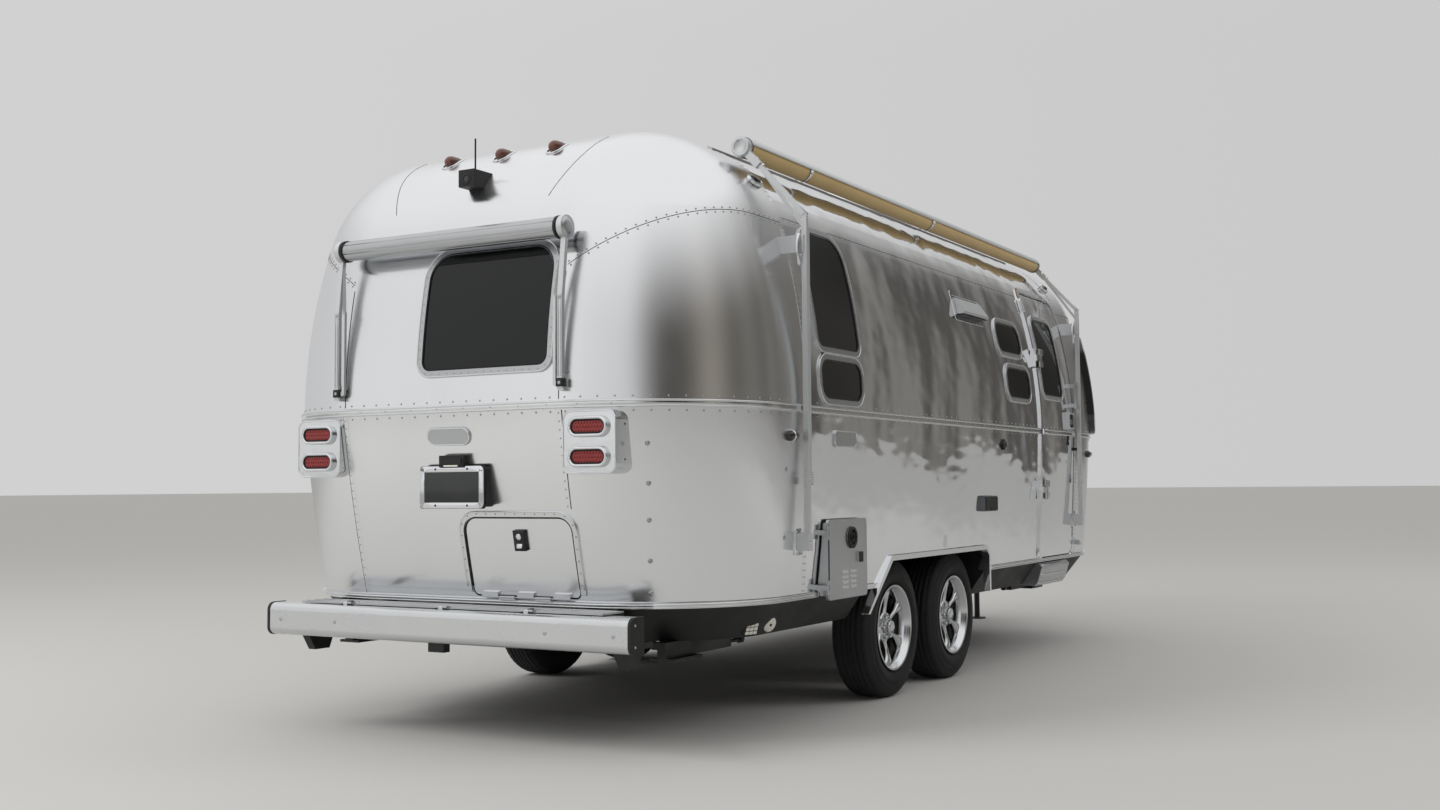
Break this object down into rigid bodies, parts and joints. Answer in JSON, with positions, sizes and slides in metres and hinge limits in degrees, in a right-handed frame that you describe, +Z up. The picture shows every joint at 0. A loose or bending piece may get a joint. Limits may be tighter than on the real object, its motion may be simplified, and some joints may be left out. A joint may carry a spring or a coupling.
{
  "type": "travel caravan",
  "caption": "Riveted bare-aluminium travel caravan on tandem wheels, with rounded ends, side awning, entry door, rear hatch and A-frame coupler.",
  "frame": {"origin": "on the ground, midway between the bumper's rear and the coupler's front, on the centre plane", "axes": "+X forward to the coupler, +Y to the left, +Z up"},
  "size_m": [7.377, 2.6499, 3.0867],
  "materials": {
    "aluminium_skin": "bright bare sheet, riveted",
    "bright_trim": "polished extrusion",
    "satin_frame": "satin anodised",
    "dark_glass": "dark tinted glass",
    "black_frame": "satin black paint",
    "black_plastic": "matt black moulding",
    "floor_board": "plywood and vinyl",
    "galvanised": "galvanised steel",
    "tyre_rubber": "black rubber",
    "alloy": "polished cast alloy",
    "red_lens": "red lens",
    "amber_lens": "amber lens",
    "white_plastic": "white moulding",
    "awning_cloth": "woven acrylic, tan",
    "tinted_cover": "dark tinted cover",
    "cabinet": "light wood laminate"
  },
  "bodies": {
    "caravan": {"kerb_wall": "aluminium_skin", "street_wall": "aluminium_skin", "roof": "aluminium_skin", "rear_cap": "aluminium_skin", "front_cap": "aluminium_skin", "floor": "floor_board", "mouldings": "bright_trim", "arch_trims": "bright_trim", "chassis_frame": "black_frame", "belly_pan": "black_plastic", "wheel_wells": "black_plastic", "axles": "black_frame", "window_frames": "satin_frame", "window_glass": "dark_glass", "stone_guards": "tinted_cover", "door_hinge_mounts": "satin_frame", "heater": "satin_frame", "rear_locker": "satin_frame", "hatch_frame": "bright_trim", "bumper": "bright_trim", "bumper_ends": "black_plastic", "bumper_tray": "black_frame", "lamp_housings": "bright_trim", "lamp_lenses": "red_lens", "side_markers": "amber_lens", "top_markers": "amber_lens", "badges": "satin_frame", "plate_holder": "black_plastic", "awning_arms": "satin_frame", "awning_roller": "awning_cloth", "rear_roller": "satin_frame", "awning_rails": "satin_frame", "air_conditioner": "white_plastic", "roof_vents": "white_plastic", "rear_camera": "black_plastic", "wall_fittings": "satin_frame", "wall_sockets": "black_plastic", "entry_step": "satin_frame", "stabilisers": "black_frame", "coupler": "black_frame", "tongue_jack": "black_frame", "gas_cover": "aluminium_skin", "furniture": "cabinet"},
    "entry_door": {"entry_door": "aluminium_skin", "door_frame": "satin_frame", "door_glass": "dark_glass", "door_lock": "black_plastic", "door_hinges": "satin_frame"},
    "heater_door": {"heater_door": "satin_frame"},
    "rear_hatch": {"rear_hatch": "aluminium_skin"},
    "bumper_lid": {"bumper_lid": "satin_frame"},
    "wheel_kerb_rear": {"rim_kerb_rear": "alloy", "tyre_kerb_rear": "tyre_rubber"},
    "wheel_street_rear": {"rim_street_rear": "alloy", "tyre_street_rear": "tyre_rubber"},
    "wheel_kerb_front": {"rim_kerb_front": "alloy", "tyre_kerb_front": "tyre_rubber"},
    "wheel_street_front": {"rim_street_front": "alloy", "tyre_street_front": "tyre_rubber"}
  },
  "joints": [
    {"name": "door_hinge", "type": "hinge", "parent": "caravan", "child": "entry_door", "pos_m": [0.8425, -1.31293, 1.077], "axis": [0, -0.0315, -0.9995], "range_deg": [0, 150]},
    {"name": "heater_door_hinge", "type": "hinge", "parent": "caravan", "child": "heater_door", "pos_m": [-2.4605, -1.3, 0.7675], "axis": [0, 0, -1], "range_deg": [0, 110]},
    {"name": "rear_hatch_hinge", "type": "hinge", "parent": "caravan", "child": "rear_hatch", "pos_m": [-3.4655, -0.321, 0.634], "axis": [0, -1, 0], "range_deg": [0, 78]},
    {"name": "bumper_lid_hinge", "type": "hinge", "parent": "caravan", "child": "bumper_lid", "pos_m": [-3.6455, 0, 0.5975], "axis": [0, -1, 0], "range_deg": [0, 180]},
    {"name": "wheel_kerb_rear_spin", "type": "hinge", "parent": "caravan", "child": "wheel_kerb_rear", "pos_m": [-1.4165, -1.0775, 0.365], "axis": [0, 1, 0], "continuous": true},
    {"name": "wheel_street_rear_spin", "type": "hinge", "parent": "caravan", "child": "wheel_street_rear", "pos_m": [-1.4165, 1.0775, 0.365], "axis": [0, 1, 0], "continuous": true},
    {"name": "wheel_kerb_front_spin", "type": "hinge", "parent": "caravan", "child": "wheel_kerb_front", "pos_m": [-0.5495, -1.0775, 0.365], "axis": [0, 1, 0], "continuous": true},
    {"name": "wheel_street_front_spin", "type": "hinge", "parent": "caravan", "child": "wheel_street_front", "pos_m": [-0.5495, 1.0775, 0.365], "axis": [0, 1, 0], "continuous": true}
  ]
}
